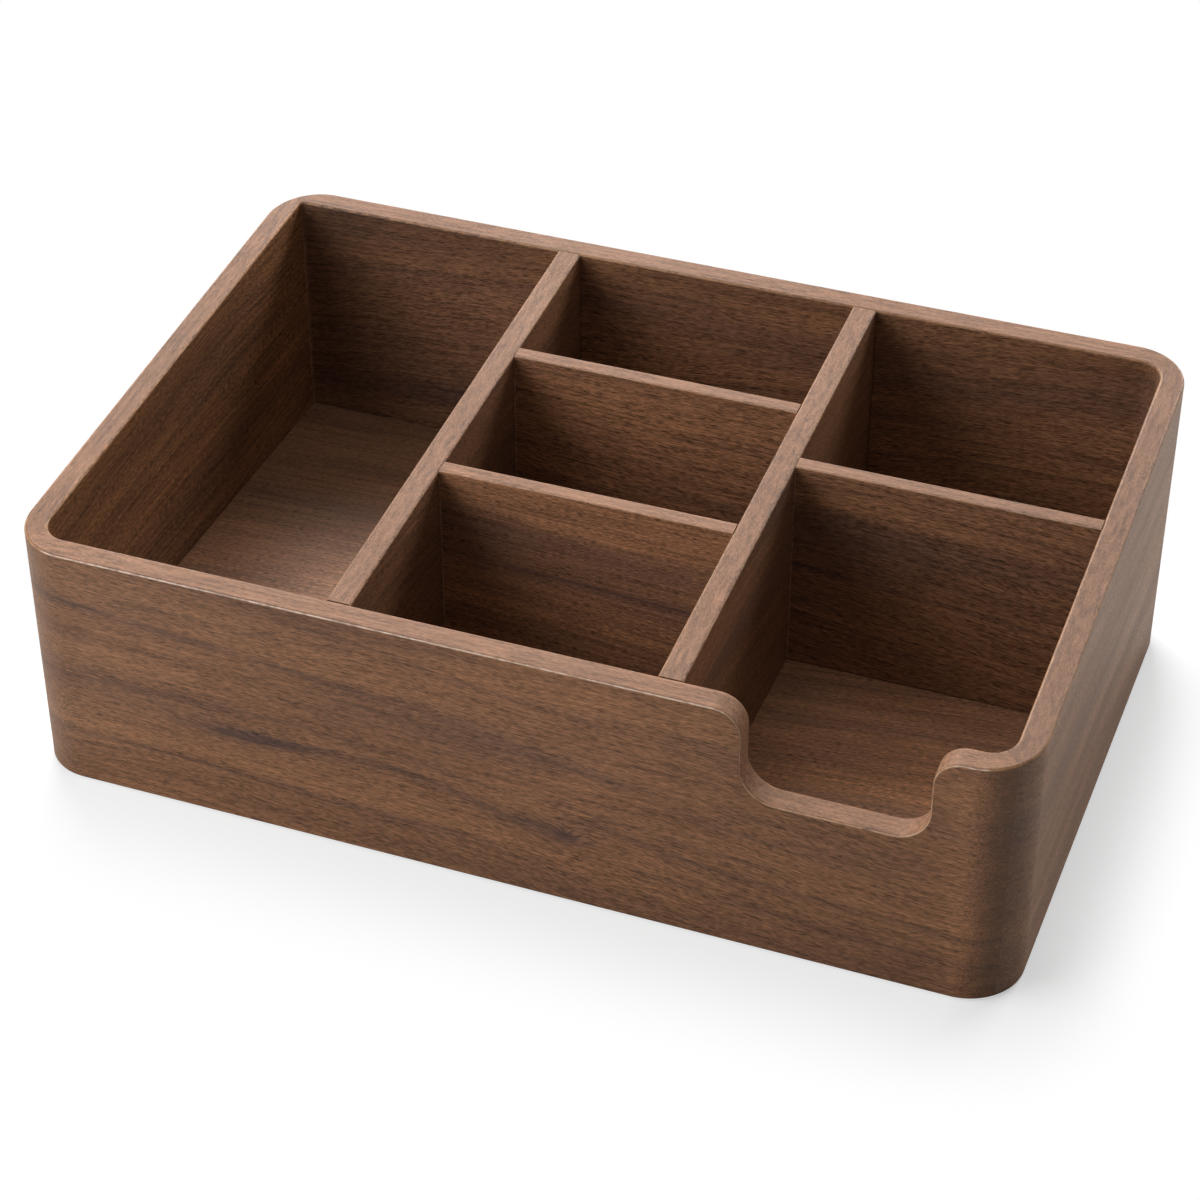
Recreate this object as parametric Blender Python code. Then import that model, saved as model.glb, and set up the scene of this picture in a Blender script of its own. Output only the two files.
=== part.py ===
# Walnut coffee station organizer: a mitred box with rounded corners whose rim slopes down
# to the front, six compartments, and a scooped opening in the front wall.
# Metres, +Z up. The front faces -Y, +X is to the right, and the origin is on the surface
# that the pads stand on, below the middle of the box.

from math import asin, atan, atan2, cos, pi, sin

import bmesh
import bpy
from mathutils import Matrix, Vector

# Outer size of the box and the two ends of its sloping rim, above the surface.
WIDTH = 0.320
DEPTH = 0.205
RIM_FRONT = 0.087
RIM_BACK = 0.105

# Boards.
WALL = 0.008
OUTER_RADIUS = 0.018
INNER_RADIUS = 0.008
SQUARE_RADIUS = 0.0015
LONG_DIVIDER = 0.008
CROSS_DIVIDER = 0.005
EDGE_ROUND = 0.0009
THIN_EDGE_ROUND = 0.0006

# Where the dividers stand. The long ones make three equal columns.
COLUMN = (WIDTH - 2 * WALL - 2 * LONG_DIVIDER) / 3
LONG_X = (COLUMN + LONG_DIVIDER) / 2
MIDDLE_REAR_Y = 0.0370
MIDDLE_FRONT_Y = -0.0255
RIGHT_CROSS_Y = 0.0110

# The floor panel is held above the surface in a groove that runs round the walls.
PANEL_TOP = 0.022
PANEL = 0.007
TONGUE = 0.004
TONGUE_DEPTH = 0.004
TONGUE_DROP = 0.0015

# Stopped housings that take the ends of the dividers.
LONG_HOUSING = 0.003
CROSS_HOUSING = 0.0025
HOUSING_STOP = 0.009

# The scooped opening in the front wall of the right column.
NOTCH_X = LONG_X + (LONG_DIVIDER + COLUMN) / 2
NOTCH_WIDTH = 0.056
NOTCH_DEPTH = 0.0305
NOTCH_LIP_RADIUS = 0.009
NOTCH_FLOOR_RADIUS = 0.011

# Loose splines across the mitres, and thin pads under the side walls.
SPLINE = 0.0016
SPLINE_WIDTH = 0.007
SPLINE_BOTTOM = 0.027
SPLINE_STOP = 0.011
PAD = 0.0008
PAD_WIDTH = 0.006
PAD_LENGTH = 0.030
PAD_INSET = 0.036

# Clearances: between boards, and across each mitre.
GAP = 0.0003
MITRE_GAP = 0.00015

CORNER_STEPS = 6
NOTCH_STEPS = 10
PAD_STEPS = 5
EDGE_STEPS = 2
WELD = 0.000001
CUTTER_REACH = 0.05
FLAT_ANGLE = 0.002
SHARP_ANGLE = 0.6

HALF_WIDTH = WIDTH / 2
HALF_DEPTH = DEPTH / 2
INNER_X = HALF_WIDTH - WALL
INNER_Y = HALF_DEPTH - WALL
RIM_SLOPE = (RIM_BACK - RIM_FRONT) / DEPTH
RIM_ANGLE = atan(RIM_SLOPE)

WALNUT_WALL = ("walnut_wall", (0.165, 0.086, 0.048), 0.48)
WALNUT_DIVIDER = ("walnut_divider", (0.140, 0.072, 0.041), 0.50)
WALNUT_FLOOR = ("walnut_floor", (0.105, 0.058, 0.036), 0.50)
SPLINE_WOOD = ("spline_wood", (0.420, 0.270, 0.140), 0.70)
PAD_FELT = ("pad_felt", (0.030, 0.028, 0.027), 0.95)


def clear_scene():
    for item in list(bpy.data.objects):
        bpy.data.objects.remove(item, do_unlink=True)


def new_collection(name, drawn):
    group = bpy.data.collections.new(name)
    group.hide_render = not drawn
    bpy.context.scene.collection.children.link(group)
    return group


def material(look):
    name, colour, roughness = look
    found = bpy.data.materials.get(name)
    if found:
        return found
    made = bpy.data.materials.new(name)
    made.use_nodes = True
    shader = made.node_tree.nodes["Principled BSDF"]
    shader.inputs["Base Color"].default_value = (*colour, 1.0)
    shader.inputs["Roughness"].default_value = roughness
    shader.inputs["Metallic"].default_value = 0.0
    made.diffuse_color = (*colour, 1.0)
    return made


def rim_height(y):
    return RIM_FRONT + RIM_SLOPE * (y + HALF_DEPTH)


# The inner corner at the back left is nearly square, and the other three are rounded.
def inner_radius(side_x, side_y):
    return SQUARE_RADIUS if (side_x, side_y) == (-1, 1) else INNER_RADIUS


def arc(centre_x, centre_y, radius, start, end, steps):
    points = []
    for step in range(steps + 1):
        angle = start + (end - start) * step / steps
        points.append((centre_x + radius * cos(angle), centre_y + radius * sin(angle)))
    return points


CORNERS = ((1, 1), (-1, 1), (-1, -1), (1, -1))


# radii are in the order of CORNERS.
def rounded_rectangle(half_x, half_y, radii, steps):
    points = []
    for quarter, ((side_x, side_y), radius) in enumerate(zip(CORNERS, radii)):
        start = quarter * pi / 2
        points += arc(side_x * (half_x - radius), side_y * (half_y - radius), radius,
                      start, start + pi / 2, steps)
    return points


# A flat outline made solid: its local XY plane is the outline, its local Z the thickness.
def plate(name, outline, thickness, place=Matrix()):
    curve = bpy.data.curves.new(name, "CURVE")
    curve.dimensions = "2D"
    curve.fill_mode = "BOTH"
    curve.extrude = thickness / 2
    spline = curve.splines.new("POLY")
    spline.points.add(len(outline) - 1)
    for point, (x, y) in zip(spline.points, outline):
        point.co = (x, y, 0.0, 1.0)
    spline.use_cyclic_u = True
    flat = bpy.data.objects.new(name, curve)
    bpy.context.scene.collection.objects.link(flat)
    depsgraph = bpy.context.evaluated_depsgraph_get()
    mesh = bpy.data.meshes.new_from_object(flat.evaluated_get(depsgraph))
    bpy.data.objects.remove(flat, do_unlink=True)
    bpy.data.curves.remove(curve)
    mesh.materials.clear()
    mesh.transform(place)
    mesh.name = name
    solid = bpy.data.objects.new(name, mesh)
    edit(solid, merge_flat_faces)
    return solid


def edit(item, change):
    shape = bmesh.new()
    shape.from_mesh(item.data)
    change(shape)
    bmesh.ops.recalc_face_normals(shape, faces=shape.faces)
    shape.to_mesh(item.data)
    shape.free()


def merge_flat_faces(shape):
    bmesh.ops.remove_doubles(shape, verts=shape.verts, dist=WELD)
    bmesh.ops.dissolve_limit(shape, angle_limit=FLAT_ANGLE, verts=shape.verts, edges=shape.edges,
                             delimit={"NORMAL"})


# Cuts a board along the sloping plane of the rim and closes it with one flat face.
def trim_to_rim(shape):
    plane_normal = Vector((0.0, -RIM_SLOPE, 1.0)).normalized()
    geometry = shape.verts[:] + shape.edges[:] + shape.faces[:]
    bmesh.ops.bisect_plane(shape, geom=geometry, dist=WELD, plane_no=plane_normal,
                           plane_co=(0.0, -HALF_DEPTH, RIM_FRONT), clear_outer=True)
    open_edges = [edge for edge in shape.edges if edge.is_boundary]
    bmesh.ops.edgeloop_fill(shape, edges=open_edges)


def on_rim(vert):
    return abs(vert.co.z - rim_height(vert.co.y)) < 10 * WELD


def on_mitre(vert):
    from_side = HALF_WIDTH - abs(vert.co.x)
    from_front = HALF_DEPTH - abs(vert.co.y)
    return abs(from_side - from_front) < 2 * MITRE_GAP


def round_edges(shape, edges, radius):
    bmesh.ops.bevel(shape, geom=edges, offset=radius, offset_type="OFFSET", segments=EDGE_STEPS,
                    profile=0.5, affect="EDGES", clamp_overlap=True)


def round_wall_rim(shape):
    chosen = []
    for edge in shape.edges:
        first, second = edge.verts
        along_rim = on_rim(first) and on_rim(second)
        along_mitre = on_mitre(first) and on_mitre(second)
        if (along_rim and not along_mitre) or on_notch(edge):
            chosen.append(edge)
    round_edges(shape, chosen, EDGE_ROUND)


# The notch's edges lie between a face of the front wall and the cut surface.
def on_notch(edge):
    for vert in edge.verts:
        near = abs(vert.co.x - NOTCH_X) < NOTCH_WIDTH / 2 + NOTCH_LIP_RADIUS + EDGE_ROUND
        low = vert.co.z > RIM_FRONT - NOTCH_DEPTH - 10 * EDGE_ROUND
        if not (near and low and vert.co.y < 0):
            return False
    facing = sorted(abs(face.normal.y) for face in edge.link_faces)
    return len(facing) == 2 and facing[0] < 0.5 < facing[1]


def round_long_edges(shape):
    chosen = [edge for edge in shape.edges
              if all(on_rim(vert) for vert in edge.verts) and runs_along(edge, 1)]
    round_edges(shape, chosen, EDGE_ROUND)


def round_cross_edges(shape):
    chosen = [edge for edge in shape.edges
              if all(on_rim(vert) for vert in edge.verts) and runs_along(edge, 0)]
    round_edges(shape, chosen, THIN_EDGE_ROUND)


def runs_along(edge, axis):
    span = edge.verts[0].co - edge.verts[1].co
    return abs(span[axis]) > 0.9 * span.length


def boolean(item, other, operation):
    step = item.modifiers.new(other.name, "BOOLEAN")
    step.operation = operation
    step.solver = "EXACT"
    step.object = other


# Applies the Booleans, so that a board is one plain mesh.
def settle(item):
    depsgraph = bpy.context.evaluated_depsgraph_get()
    mesh = bpy.data.meshes.new_from_object(item.evaluated_get(depsgraph))
    mesh.name = item.name
    item.modifiers.clear()
    item.data = mesh
    edit(item, merge_flat_faces)


def finish(item, look, group):
    if group not in item.users_collection:
        group.objects.link(item)
    item.data.materials.clear()
    item.data.materials.append(material(look))
    item.data.shade_smooth()
    item.data.set_sharp_from_angle(angle=SHARP_ANGLE)
    return item


def stash(cutter, group):
    group.objects.link(cutter)
    cutter.hide_render = True
    cutter.display_type = "WIRE"
    return cutter


def box(name, low, high):
    size = [top - bottom for bottom, top in zip(low, high)]
    middle = [(top + bottom) / 2 for bottom, top in zip(low, high)]
    shape = bmesh.new()
    bmesh.ops.create_cube(shape, size=1.0, matrix=Matrix.Translation(middle) @ Matrix.Diagonal((*size, 1.0)))
    mesh = bpy.data.meshes.new(name)
    shape.to_mesh(mesh)
    shape.free()
    return bpy.data.objects.new(name, mesh)


# Turns local (x, y, z) so that local Z points along world +X and local Y stays up.
FACING_X = Matrix(((0, 0, 1, 0), (1, 0, 0, 0), (0, 1, 0, 0), (0, 0, 0, 1)))
# Turns local (x, y, z) so that local X stays X, local Y is up and local Z points to the front.
FACING_FRONT = Matrix(((1, 0, 0, 0), (0, 0, -1, 0), (0, 1, 0, 0), (0, 0, 0, 1)))


# The plan of one wall, drawn as the front one: mitred ends, and both corners rounded as far
# as the mitre. half_length is half the side it stands on, left and right its inner radii.
def wall_plan(half_length, half_across, left, right):
    outer_trim = asin(MITRE_GAP / 2 / OUTER_RADIUS)
    outer_x = half_length - OUTER_RADIUS
    outer_y = -(half_across - OUTER_RADIUS)
    inner_x = half_length - WALL
    inner_y = WALL - half_across
    points = arc(-outer_x, outer_y, OUTER_RADIUS, 1.25 * pi + outer_trim, 1.5 * pi, CORNER_STEPS)
    points += arc(outer_x, outer_y, OUTER_RADIUS, 1.5 * pi, 1.75 * pi - outer_trim, CORNER_STEPS)
    right_end = 1.75 * pi - asin(MITRE_GAP / 2 / right)
    points += arc(inner_x - right, inner_y + right, right, right_end, 1.5 * pi, CORNER_STEPS)
    left_end = 1.25 * pi + asin(MITRE_GAP / 2 / left)
    points += arc(left - inner_x, inner_y + left, left, 1.5 * pi, left_end, CORNER_STEPS)
    return points


def notch_cutter(group):
    lip = NOTCH_LIP_RADIUS
    floor = NOTCH_FLOOR_RADIUS
    half = NOTCH_WIDTH / 2
    run_out = 6 * EDGE_ROUND
    lip_start = pi / 2 - pi / 30
    right = arc(half - floor, floor - NOTCH_DEPTH, floor, 1.5 * pi, 2 * pi, NOTCH_STEPS)
    right += arc(half + lip, -lip, lip, pi, pi - lip_start, NOTCH_STEPS)
    last_x, last_y = right[-1]
    right.append((last_x + run_out * sin(lip_start), last_y + run_out * cos(lip_start)))
    right.append((last_x + run_out * sin(lip_start), CUTTER_REACH))
    outline = right + [(-x, y) for x, y in reversed(right)]
    tilt = Matrix.Rotation(RIM_ANGLE, 4, "X")
    place = Matrix.Translation((NOTCH_X, -HALF_DEPTH, RIM_FRONT)) @ tilt @ FACING_FRONT
    return stash(plate("notch_cutter", outline, CUTTER_REACH, place), group)


def wall(name, half_length, half_across, turn, groups, cutters, ends, notched=False):
    height = RIM_BACK + WALL - PAD
    radii = [inner_radius(*end) for end in ends]
    place = Matrix.Rotation(turn, 4, "Z") @ Matrix.Translation((0.0, 0.0, PAD + height / 2))
    made = plate(name, wall_plan(half_length, half_across, *radii), height, place)
    edit(made, trim_to_rim)
    groups[0].objects.link(made)
    if notched:
        boolean(made, notch_cutter(groups[1]), "DIFFERENCE")
        settle(made)
    edit(made, round_wall_rim)
    for cutter in cutters:
        boolean(made, cutter, "DIFFERENCE")
    settle(made)
    return finish(made, WALNUT_WALL, groups[0])


# The tongue and its groove keep the large radius at all four corners, to stay clear of the
# outer face of the walls.
def floor_outline(margin):
    if margin > 0:
        radii = [INNER_RADIUS + margin] * 4
    else:
        radii = [inner_radius(*corner) + margin for corner in CORNERS]
    return rounded_rectangle(INNER_X + margin, INNER_Y + margin, radii, CORNER_STEPS)


def slab(name, margin, bottom, top):
    lift = Matrix.Translation((0.0, 0.0, (bottom + top) / 2))
    return plate(name, floor_outline(margin), top - bottom, lift)


# The panel fills the box inside the walls, and a thinner tongue runs into their groove.
def base_panel(groups):
    bottom = PANEL_TOP - PANEL
    tongue_top = PANEL_TOP - TONGUE_DROP
    panel = slab("base_panel", -GAP, bottom, PANEL_TOP)
    tongue = slab("panel_tongue", TONGUE_DEPTH - GAP, tongue_top - TONGUE, tongue_top)
    groups[0].objects.link(panel)
    boolean(panel, stash(tongue, groups[1]), "UNION")
    settle(panel)
    return finish(panel, WALNUT_FLOOR, groups[0])


def groove_cutter(group):
    tongue_top = PANEL_TOP - TONGUE_DROP
    groove = slab("groove_cutter", TONGUE_DEPTH, tongue_top - TONGUE - GAP, tongue_top + GAP)
    return stash(groove, group)


# A stopped housing: it ends below the rim, so that only a butt joint shows from above.
def housing_cutter(name, low_x, high_x, low_y, high_y, group):
    top = rim_height(min(low_y, high_y)) - HOUSING_STOP + GAP
    bottom = PANEL_TOP
    return stash(box(name, (low_x, low_y, bottom), (high_x, high_y, top)), group)


def long_housings(group):
    cutters = []
    reach = LONG_DIVIDER / 2 + GAP
    for side, label in ((-1, "left"), (1, "right")):
        middle = side * LONG_X
        for end, wall_name in ((-1, "front"), (1, "back")):
            deep = end * (INNER_Y + LONG_HOUSING)
            open_side = end * (INNER_Y - LONG_HOUSING)
            name = "housing_%s_%s" % (label, wall_name)
            cutters.append(housing_cutter(name, middle - reach, middle + reach,
                                          min(deep, open_side), max(deep, open_side), group))
    return cutters


# Local X of the outline runs along the board, local Y is the height above the surface.
def divider_outline(start, end, start_tongue, end_tongue, stop_start, stop_end):
    bottom = PANEL_TOP + GAP
    top = RIM_BACK + WALL
    return [
        (start - start_tongue, bottom),
        (end + end_tongue, bottom),
        (end + end_tongue, stop_end),
        (end, stop_end),
        (end, top),
        (start, top),
        (start, stop_start),
        (start - start_tongue, stop_start),
    ]


def long_divider(name, x, groups, cutters):
    ends = INNER_Y - GAP
    stop_front = rim_height(-INNER_Y - LONG_HOUSING) - HOUSING_STOP
    stop_back = rim_height(INNER_Y - LONG_HOUSING) - HOUSING_STOP
    outline = divider_outline(-ends, ends, LONG_HOUSING, LONG_HOUSING, stop_front, stop_back)
    place = Matrix.Translation((x, 0.0, 0.0)) @ FACING_X
    made = plate(name, outline, LONG_DIVIDER, place)
    edit(made, trim_to_rim)
    edit(made, round_long_edges)
    groups[0].objects.link(made)
    for cutter in cutters:
        boolean(made, cutter, "DIFFERENCE")
    settle(made)
    return finish(made, WALNUT_DIVIDER, groups[0])


def cross_divider(name, y, left_face, right_face, groups):
    stop = rim_height(y - CROSS_DIVIDER / 2 - GAP) - HOUSING_STOP
    outline = divider_outline(left_face + GAP, right_face - GAP, CROSS_HOUSING, CROSS_HOUSING, stop, stop)
    place = Matrix.Translation((0.0, y, 0.0)) @ FACING_FRONT
    made = plate(name, outline, CROSS_DIVIDER, place)
    edit(made, trim_to_rim)
    edit(made, round_cross_edges)
    return finish(made, WALNUT_DIVIDER, groups[0])


def cross_housing(name, y, face, inward, group):
    deep = face + inward * CROSS_HOUSING
    open_side = face - inward * CROSS_HOUSING
    reach = CROSS_DIVIDER / 2 + GAP
    return housing_cutter(name, min(deep, open_side), max(deep, open_side), y - reach, y + reach, group)


# A spline crosses the middle of a mitre at right angles to it.
def spline_place(side_x, side_y, bottom, top):
    outer = OUTER_RADIUS * (1 - cos(pi / 4))
    inner = WALL + inner_radius(side_x, side_y) * (1 - cos(pi / 4))
    middle = (outer + inner) / 2
    x = side_x * (HALF_WIDTH - middle)
    y = side_y * (HALF_DEPTH - middle)
    across = atan2(side_y, -side_x)
    return Matrix.Translation((x, y, (bottom + top) / 2)) @ Matrix.Rotation(across, 4, "Z")


def spline_block(name, side_x, side_y, clearance):
    bottom = SPLINE_BOTTOM - clearance
    top = rim_height(side_y * HALF_DEPTH) - SPLINE_STOP + clearance
    half_length = SPLINE_WIDTH / 2 + clearance
    half_thick = SPLINE / 2 + clearance
    half_height = (top - bottom) / 2
    block = box(name, (-half_length, -half_thick, -half_height), (half_length, half_thick, half_height))
    block.data.transform(spline_place(side_x, side_y, bottom, top))
    return block


def pad(name, side_x, side_y, group):
    half_length = PAD_LENGTH / 2
    half_width = PAD_WIDTH / 2
    outline = rounded_rectangle(half_width, half_length, [half_width] * 4, PAD_STEPS)
    x = side_x * (HALF_WIDTH - WALL / 2)
    y = side_y * (HALF_DEPTH - PAD_INSET)
    thickness = PAD - GAP / 3
    place = Matrix.Translation((x, y, thickness / 2))
    return finish(plate(name, outline, thickness, place), PAD_FELT, group)


def build():
    clear_scene()
    groups = (new_collection("coffee_station_organizer", True), new_collection("cutters", False))
    parts, tools = groups
    corners = [(front, side, side_x, side_y) for front, side_y in (("front", -1), ("back", 1))
               for side, side_x in (("left", -1), ("right", 1))]
    slots = {}
    for front, side, side_x, side_y in corners:
        block = spline_block("slot_%s_%s" % (front, side), side_x, side_y, GAP)
        slots[front, side] = stash(block, tools)
        spline = spline_block("mitre_spline_%s_%s" % (front, side), side_x, side_y, 0.0)
        finish(spline, SPLINE_WOOD, parts)
        pad("pad_%s_%s" % (front, side), side_x, side_y, parts)

    groove = groove_cutter(tools)
    housings = long_housings(tools)
    front_cuts = [groove, slots["front", "left"], slots["front", "right"]]
    back_cuts = [groove, slots["back", "left"], slots["back", "right"]]
    left_cuts = [groove, slots["front", "left"], slots["back", "left"]]
    right_cuts = [groove, slots["front", "right"], slots["back", "right"]]
    front_cuts += [cutter for cutter in housings if "front" in cutter.name]
    back_cuts += [cutter for cutter in housings if "back" in cutter.name]

    inner_face = LONG_X - LONG_DIVIDER / 2
    outer_face = LONG_X + LONG_DIVIDER / 2
    right_cuts.append(cross_housing("housing_right_wall", RIGHT_CROSS_Y, INNER_X, 1, tools))
    left_divider_cuts = [
        cross_housing("housing_rear_left", MIDDLE_REAR_Y, -inner_face, -1, tools),
        cross_housing("housing_front_left", MIDDLE_FRONT_Y, -inner_face, -1, tools),
    ]
    right_divider_cuts = [
        cross_housing("housing_rear_right", MIDDLE_REAR_Y, inner_face, 1, tools),
        cross_housing("housing_front_right", MIDDLE_FRONT_Y, inner_face, 1, tools),
        cross_housing("housing_cross_right", RIGHT_CROSS_Y, outer_face, -1, tools),
    ]

    wall("front_wall", HALF_WIDTH, HALF_DEPTH, 0.0, groups, front_cuts, ((-1, -1), (1, -1)), notched=True)
    wall("right_wall", HALF_DEPTH, HALF_WIDTH, pi / 2, groups, right_cuts, ((1, -1), (1, 1)))
    wall("back_wall", HALF_WIDTH, HALF_DEPTH, pi, groups, back_cuts, ((1, 1), (-1, 1)))
    wall("left_wall", HALF_DEPTH, HALF_WIDTH, -pi / 2, groups, left_cuts, ((-1, 1), (-1, -1)))
    base_panel(groups)
    long_divider("long_divider_left", -LONG_X, groups, left_divider_cuts)
    long_divider("long_divider_right", LONG_X, groups, right_divider_cuts)
    cross_divider("cross_divider_middle_rear", MIDDLE_REAR_Y, -inner_face, inner_face, groups)
    cross_divider("cross_divider_middle_front", MIDDLE_FRONT_Y, -inner_face, inner_face, groups)
    cross_divider("cross_divider_right", RIGHT_CROSS_Y, outer_face, INNER_X, groups)


build()
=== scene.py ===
# Walnut coffee station organizer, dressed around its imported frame.
# Metres, Z up. The low side with the scooped opening faces -Y, and +X is to the right.

from math import atan, cos, radians, sin

import bmesh
import bpy
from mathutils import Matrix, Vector


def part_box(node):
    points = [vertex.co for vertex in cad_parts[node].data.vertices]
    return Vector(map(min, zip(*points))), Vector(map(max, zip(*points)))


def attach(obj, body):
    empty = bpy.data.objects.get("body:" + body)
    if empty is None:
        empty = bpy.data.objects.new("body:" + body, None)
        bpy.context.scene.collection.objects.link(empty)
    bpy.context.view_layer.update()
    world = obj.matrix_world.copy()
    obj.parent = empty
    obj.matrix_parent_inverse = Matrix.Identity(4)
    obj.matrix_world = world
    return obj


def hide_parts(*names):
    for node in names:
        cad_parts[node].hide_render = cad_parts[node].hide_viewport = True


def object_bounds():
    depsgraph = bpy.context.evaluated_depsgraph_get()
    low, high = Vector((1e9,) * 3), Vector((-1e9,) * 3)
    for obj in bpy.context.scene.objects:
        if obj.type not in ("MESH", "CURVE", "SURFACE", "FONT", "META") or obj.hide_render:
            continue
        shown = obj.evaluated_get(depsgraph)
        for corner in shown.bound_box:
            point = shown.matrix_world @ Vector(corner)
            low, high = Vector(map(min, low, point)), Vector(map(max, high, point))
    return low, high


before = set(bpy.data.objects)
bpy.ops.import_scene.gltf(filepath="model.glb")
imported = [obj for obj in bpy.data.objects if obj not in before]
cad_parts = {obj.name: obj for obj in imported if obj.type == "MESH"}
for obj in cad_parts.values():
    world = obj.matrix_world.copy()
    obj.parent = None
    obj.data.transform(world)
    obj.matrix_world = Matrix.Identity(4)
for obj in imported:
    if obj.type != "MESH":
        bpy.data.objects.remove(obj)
cadLow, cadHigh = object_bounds()
print("frame loaded:", len(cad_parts), "nodes")

# The box as a whole. Its width and depth come from the frame.
organizer = {
    "rimFront": 0.087,        # height of the sloping rim over the front face
    "rimBack": 0.105,
    "wall": 0.008,
    "outerRadius": 0.018,     # of the upright corners, outside
    "innerRadius": 0.008,     # and inside
    "squareRadius": 0.0015,   # the inner corner at the back left, which is nearly square
    "outerSteps": 48,
    "innerSteps": 32,
    "edgeRound": 0.0009,      # rounding of the rim
    "edgeSteps": 6,
    "footRound": 0.0005,      # rounding of the bottom edge
    "footSteps": 3,
    "smoothAngle": radians(32),
}
halfWidth = cadHigh.x
halfDepth = cadHigh.y
innerX = halfWidth - organizer["wall"]
innerY = halfDepth - organizer["wall"]
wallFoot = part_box("front_wall")[0].z
rimSlope = (organizer["rimBack"] - organizer["rimFront"]) / (2 * halfDepth)
rimAngle = atan(rimSlope)
rimPoint = Vector((0, -halfDepth, organizer["rimFront"]))
rimNormal = Vector((0, -rimSlope, 1)).normalized()
above = 0.03                  # how far rough blocks stand over the rim before it is cut
hair = 0.00001                # two points closer than this are on the same plane
cutReach = 0.000001           # and a point this close to a cut lies on it
sharpAngle = 0.8              # faces that turn more than this, in radians, meet at a sharp edge
borderAngle = 0.6             # a rounding's last face turns less than this from the face beside it


def rimHeight(y):
    return organizer["rimFront"] + rimSlope * (y + halfDepth)


def aboveRim(point):
    return (point - rimPoint).dot(rimNormal)


# working helpers

def workOn(piece):
    if bpy.context.mode != "OBJECT":
        bpy.ops.object.mode_set(mode="OBJECT")
    bpy.ops.object.select_all(action="DESELECT")
    bpy.context.view_layer.objects.active = piece
    if piece:
        piece.select_set(True)


def addBlock(name, low, high, tilt=0.0):
    workOn(None)
    low, high = Vector(low), Vector(high)
    bpy.ops.mesh.primitive_cube_add(size=1, location=(low + high) / 2, rotation=(tilt, 0, 0),
                                    scale=high - low)
    bpy.ops.object.transform_apply(location=True, rotation=True, scale=True)
    block = bpy.context.object
    block.name = block.data.name = name
    return block


def copyOf(piece, name):
    workOn(piece)
    bpy.ops.object.duplicate(linked=False)
    copied = bpy.context.object
    copied.name = copied.data.name = name
    return copied


def scrap(*pieces):
    for piece in pieces:
        workOn(piece)
        bpy.ops.object.delete()


# Goes into edit mode with only those edges or faces selected that wanted() accepts.
def pick(piece, kind, wanted):
    workOn(piece)
    bpy.ops.object.mode_set(mode="EDIT")
    bpy.ops.mesh.select_mode(type=kind)
    bpy.ops.mesh.select_all(action="DESELECT")
    shape = bmesh.from_edit_mesh(piece.data)
    for part in (shape.edges if kind == "EDGE" else shape.faces):
        if wanted(part):
            part.select_set(True)
    shape.select_flush_mode()
    bmesh.update_edit_mesh(piece.data)


def roundEdges(piece, radius, steps, wanted):
    pick(piece, "EDGE", wanted)
    bpy.ops.mesh.bevel(offset=radius, offset_type="OFFSET", segments=steps, profile=0.5,
                       affect="EDGES", clamp_overlap=False)


def everyFace(face):
    return True


def cutThrough(piece, point, normal, wanted=everyFace, **ending):
    pick(piece, "FACE", wanted)
    bpy.ops.mesh.bisect(plane_co=point, plane_no=normal, threshold=cutReach, **ending)


# Cuts off what lies on the side that the normal points to, and closes the cut.
def cutAway(piece, point, normal):
    cutThrough(piece, point, normal, use_fill=True, clear_outer=True)


def carve(piece, cutter, operation="DIFFERENCE"):
    workOn(piece)
    cut = piece.modifiers.new("cut", "BOOLEAN")
    cut.operation = operation
    cut.solver = "EXACT"
    cut.object = cutter
    bpy.ops.object.modifier_apply(modifier=cut.name)


def isUpright(edge):
    first, second = (vert.co for vert in edge.verts)
    return (first - second).to_2d().length < hair


# Rounds the upright edges of what fills the box inside its walls.
def roundInside(block, shrink=0.0):
    def atSquareCorner(edge):
        return isUpright(edge) and edge.verts[0].co.x < 0 < edge.verts[0].co.y

    steps = organizer["innerSteps"]
    roundEdges(block, organizer["squareRadius"] - shrink, steps, atSquareCorner)
    roundEdges(block, organizer["innerRadius"] - shrink, steps,
               lambda edge: isUpright(edge) and not atSquareCorner(edge))


def onRim(vert):
    return abs(aboveRim(vert.co)) < hair


def isSharp(edge):
    return len(edge.link_faces) == 2 and edge.calc_face_angle(0) > sharpAngle


# Rounds the chosen edges, and keeps how worn each point is for the material: 1 in the middle of
# the rounding, falling to 0 on its two borders and on the flat faces.
def easeEdges(piece, radius, steps, wanted, worn=True):
    roundEdges(piece, radius, steps, wanted)
    shape = bmesh.from_edit_mesh(piece.data)
    for face in shape.faces:
        if face.select and len(face.verts) > 4:     # the flat face inside a closed rounding
            face.select_set(False)
    layer = shape.verts.layers.float.get("edgeWearAndHairline") or shape.verts.layers.float.new("edgeWearAndHairline")
    rounded = {vert for face in shape.faces if face.select for vert in face.verts} if worn else set()
    row = {vert for vert in rounded if any(map(isBorder, vert.link_edges))}
    depth = 0
    while row:
        for vert in row:
            vert[layer] = min(1.0, 2 * depth / steps)
        rounded -= row
        row = {edge.other_vert(vert) for vert in row for edge in vert.link_edges} & rounded
        depth += 1
    bmesh.update_edit_mesh(piece.data)


# Writes a number on the points of the chosen faces, for the material.
def markFaces(piece, label, wanted, value=1.0):
    workOn(piece)
    shape = bmesh.new()
    shape.from_mesh(piece.data)
    layer = shape.verts.layers.float.get(label) or shape.verts.layers.float.new(label)
    for face in shape.faces:
        if wanted(face):
            for vert in face.verts:
                vert[layer] = value
    shape.to_mesh(piece.data)
    shape.free()


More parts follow.
